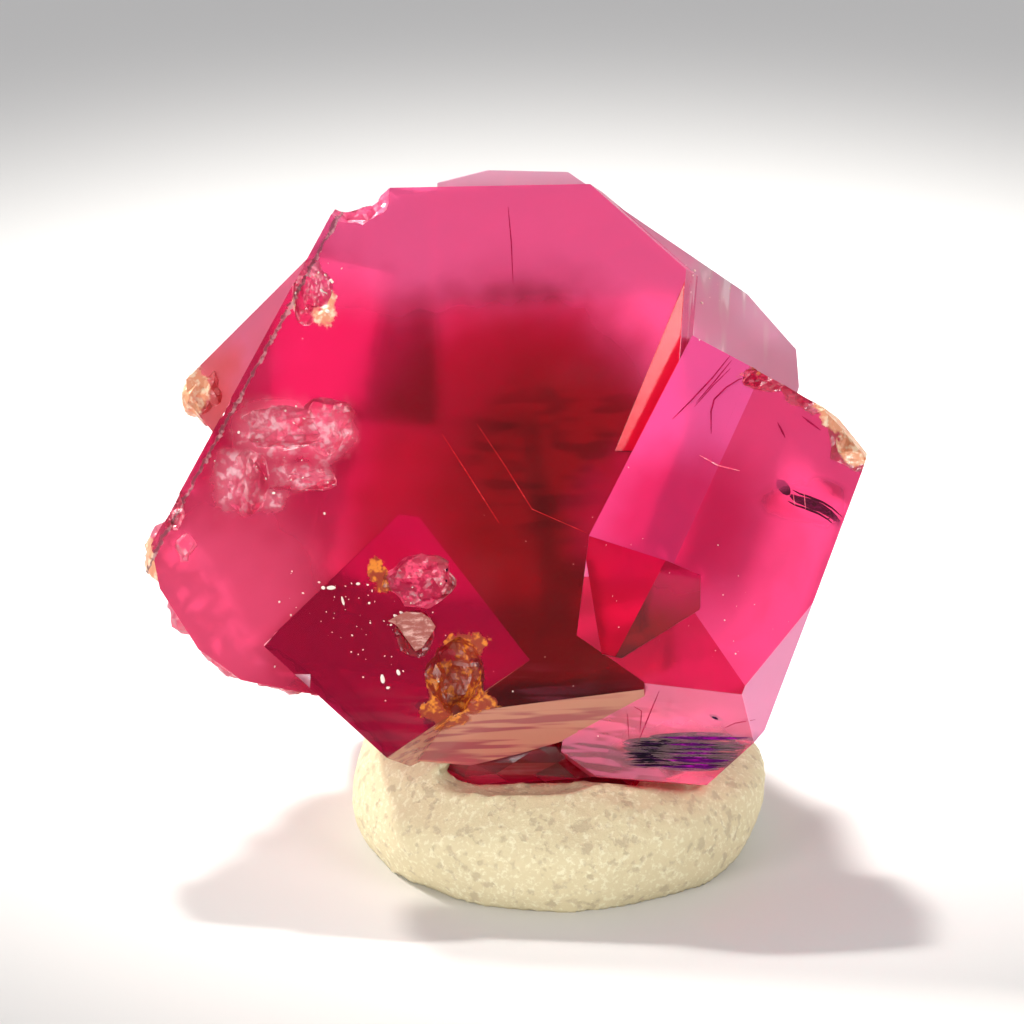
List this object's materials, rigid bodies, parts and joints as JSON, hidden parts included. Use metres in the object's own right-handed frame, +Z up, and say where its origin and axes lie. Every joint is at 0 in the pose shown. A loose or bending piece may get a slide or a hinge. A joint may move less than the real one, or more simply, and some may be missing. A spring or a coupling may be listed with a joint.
{
  "type": "grossular garnet specimen",
  "caption": "Clear raspberry-red garnet specimen: blocky crystals grown together, standing in a round dab of pale mineral putty.",
  "frame": {"origin": "middle of the bounding box's underside, on the surface that the putty stands on", "axes": "+Z up; -Y the way the broad front face of the main crystal looks, leaning back 22 degrees; +X to the right as seen from the front"},
  "size_m": [0.02, 0.0164, 0.0185],
  "materials": {
    "garnet": "clear, glassy faces with frosted broken edges",
    "putty": "matt, slightly granular"
  },
  "bodies": {
    "root": {"garnet": "garnet", "putty": "putty"}
  },
  "joints": []
}
